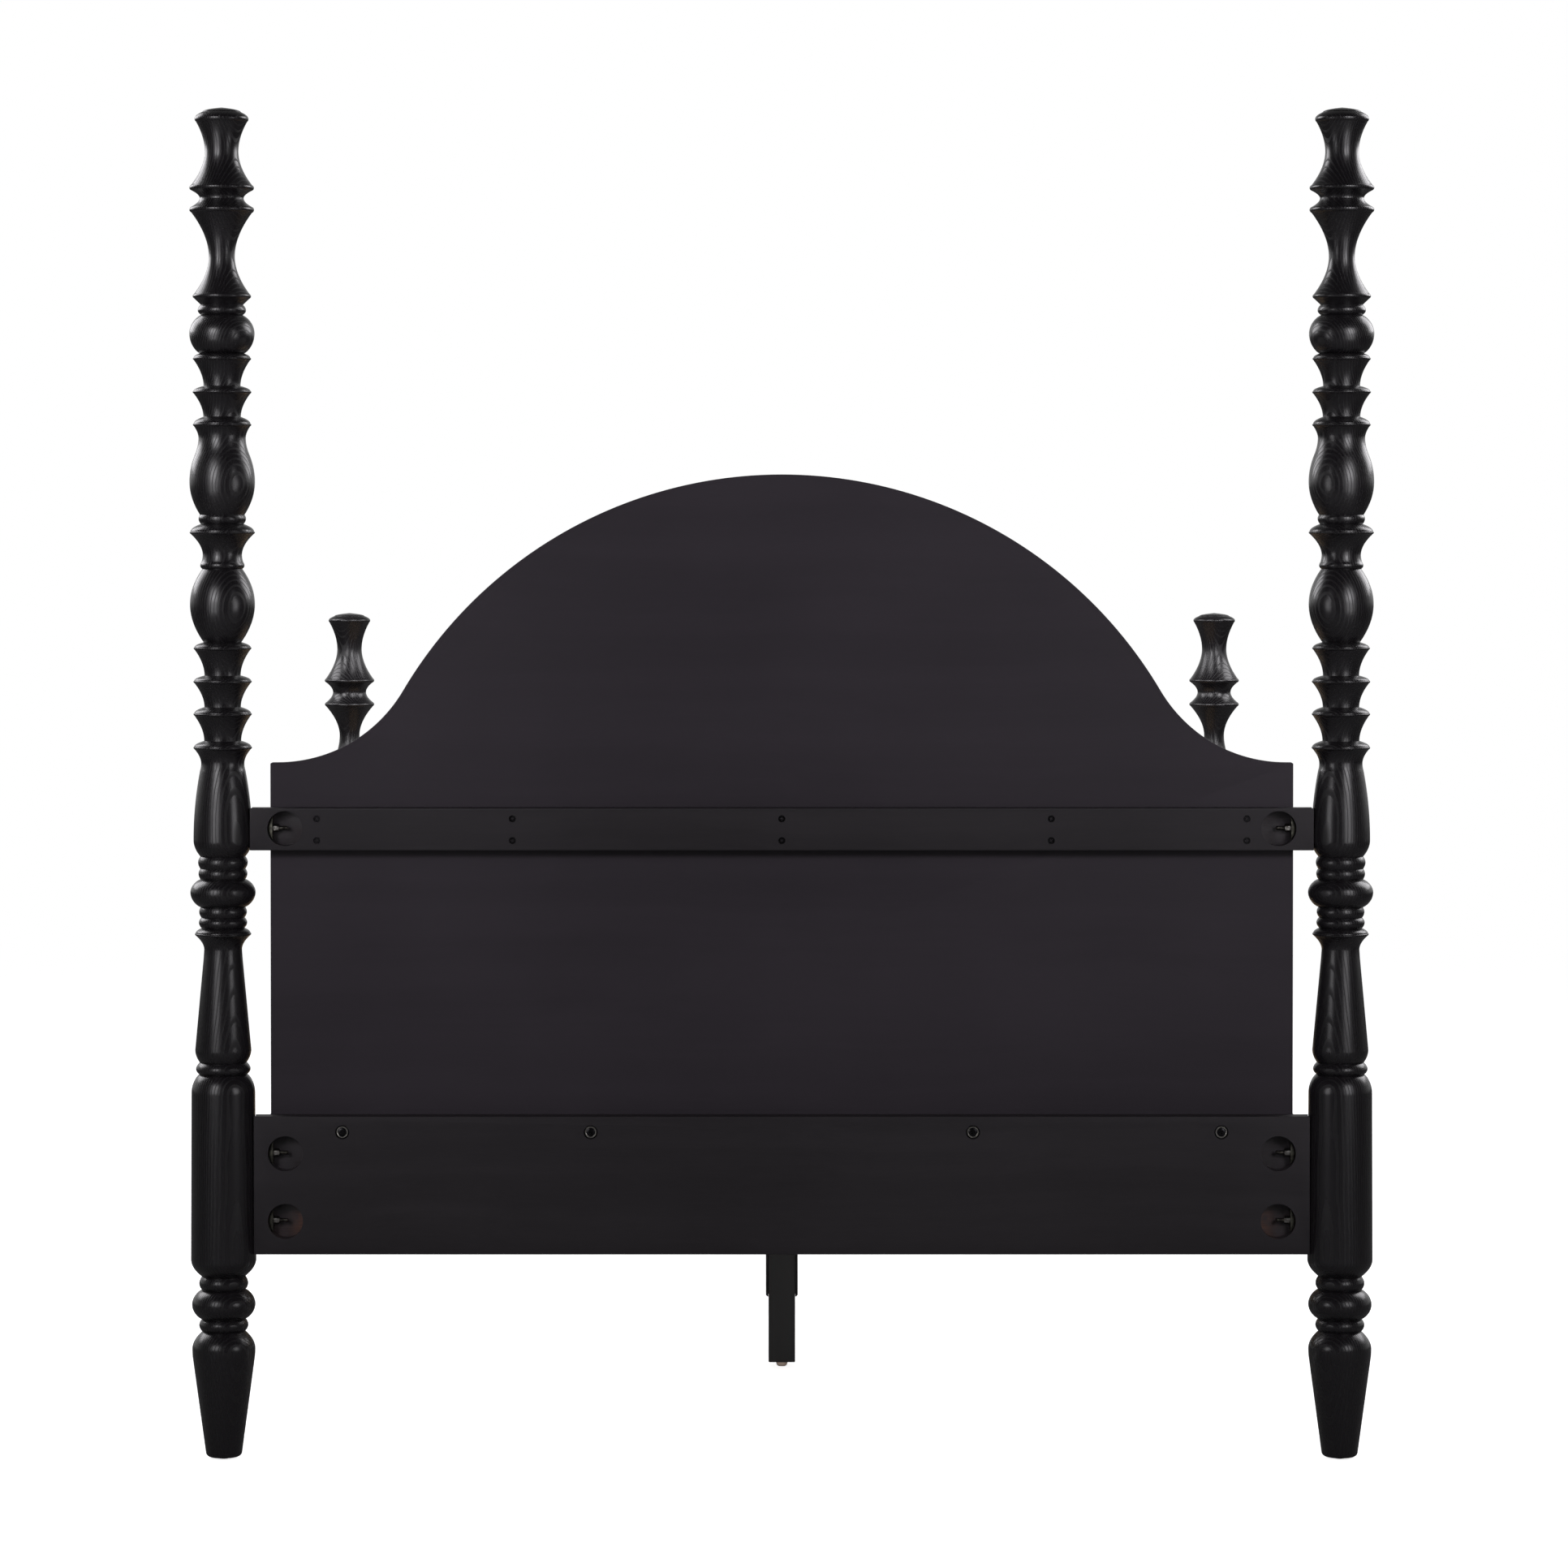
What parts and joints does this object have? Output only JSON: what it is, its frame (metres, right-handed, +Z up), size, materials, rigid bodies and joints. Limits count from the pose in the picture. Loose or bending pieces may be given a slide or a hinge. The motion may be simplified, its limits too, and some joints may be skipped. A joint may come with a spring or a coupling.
{
  "type": "four poster bed",
  "caption": "Queen-size bed with tall turned head posts, shorter turned foot posts, an arched headboard, bolted rails and a slatted deck on a centre beam with legs.",
  "frame": {"origin": "on the floor, under the middle of the bed", "axes": "+X to the right as seen from behind the headboard, +Y from head to foot, +Z up"},
  "size_m": [1.685, 2.213, 1.929],
  "materials": {
    "turned_ash": "satin ebonised open-grain ash",
    "panel_black": "smooth satin black stain",
    "rail_black": "satin black stain",
    "pine": "planed, unfinished",
    "black_steel": "black powder coat",
    "zinc_steel": "zinc plated",
    "nickel_steel": "nickel plated",
    "tan_plastic": "moulded nylon"
  },
  "bodies": {
    "frame": {"head_post_left": "turned_ash", "post_glide_head_left": "nickel_steel", "head_post_right": "turned_ash", "post_glide_head_right": "nickel_steel", "foot_post_left": "turned_ash", "post_glide_foot_left": "nickel_steel", "foot_post_right": "turned_ash", "post_glide_foot_right": "nickel_steel", "headboard_panel": "panel_black", "headboard_top_rail": "rail_black", "headboard_bottom_rail": "rail_black", "side_rail_left": "rail_black", "slat_cleat_left": "rail_black", "side_rail_right": "rail_black", "slat_cleat_right": "rail_black", "foot_rail": "rail_black", "centre_beam": "rail_black", "beam_hanger_head": "black_steel", "leg_socket_head": "black_steel", "centre_leg_head": "rail_black", "beam_hanger_foot": "black_steel", "leg_socket_foot": "black_steel", "centre_leg_foot": "rail_black", "headboard_rod_top_left": "zinc_steel", "half_moon_washer_top_left": "zinc_steel", "headboard_rod_top_right": "zinc_steel", "half_moon_washer_top_right": "zinc_steel", "headboard_rod_middle_left": "zinc_steel", "half_moon_washer_middle_left": "zinc_steel", "headboard_rod_middle_right": "zinc_steel", "half_moon_washer_middle_right": "zinc_steel", "headboard_rod_low_left": "zinc_steel", "half_moon_washer_low_left": "zinc_steel", "headboard_rod_low_right": "zinc_steel", "half_moon_washer_low_right": "zinc_steel", "panel_bolt_1": "zinc_steel", "panel_bolt_2": "zinc_steel", "panel_bolt_3": "zinc_steel", "panel_bolt_4": "zinc_steel", "side_rail_rod_head_left": "zinc_steel", "side_rail_rod_head_right": "zinc_steel", "side_rail_rod_foot_left": "zinc_steel", "side_rail_rod_foot_right": "zinc_steel", "foot_rail_rod_left": "zinc_steel", "foot_rail_rod_right": "zinc_steel", "slat_01": "pine", "slat_02": "pine", "slat_03": "pine", "slat_04": "pine", "slat_05": "pine", "slat_06": "pine", "slat_07": "pine", "slat_08": "pine", "slat_09": "pine", "slat_10": "pine", "slat_11": "pine", "slat_12": "pine", "slat_13": "pine"},
    "head_glide": {"leg_glide_head": "tan_plastic"},
    "foot_glide": {"leg_glide_foot": "tan_plastic"}
  },
  "joints": [
    {"name": "head_glide_height", "type": "slide", "parent": "frame", "child": "head_glide", "axis": [0, 0, -1], "range_m": [0, 0.012]},
    {"name": "foot_glide_height", "type": "slide", "parent": "frame", "child": "foot_glide", "axis": [0, 0, -1], "range_m": [0, 0.012]}
  ]
}
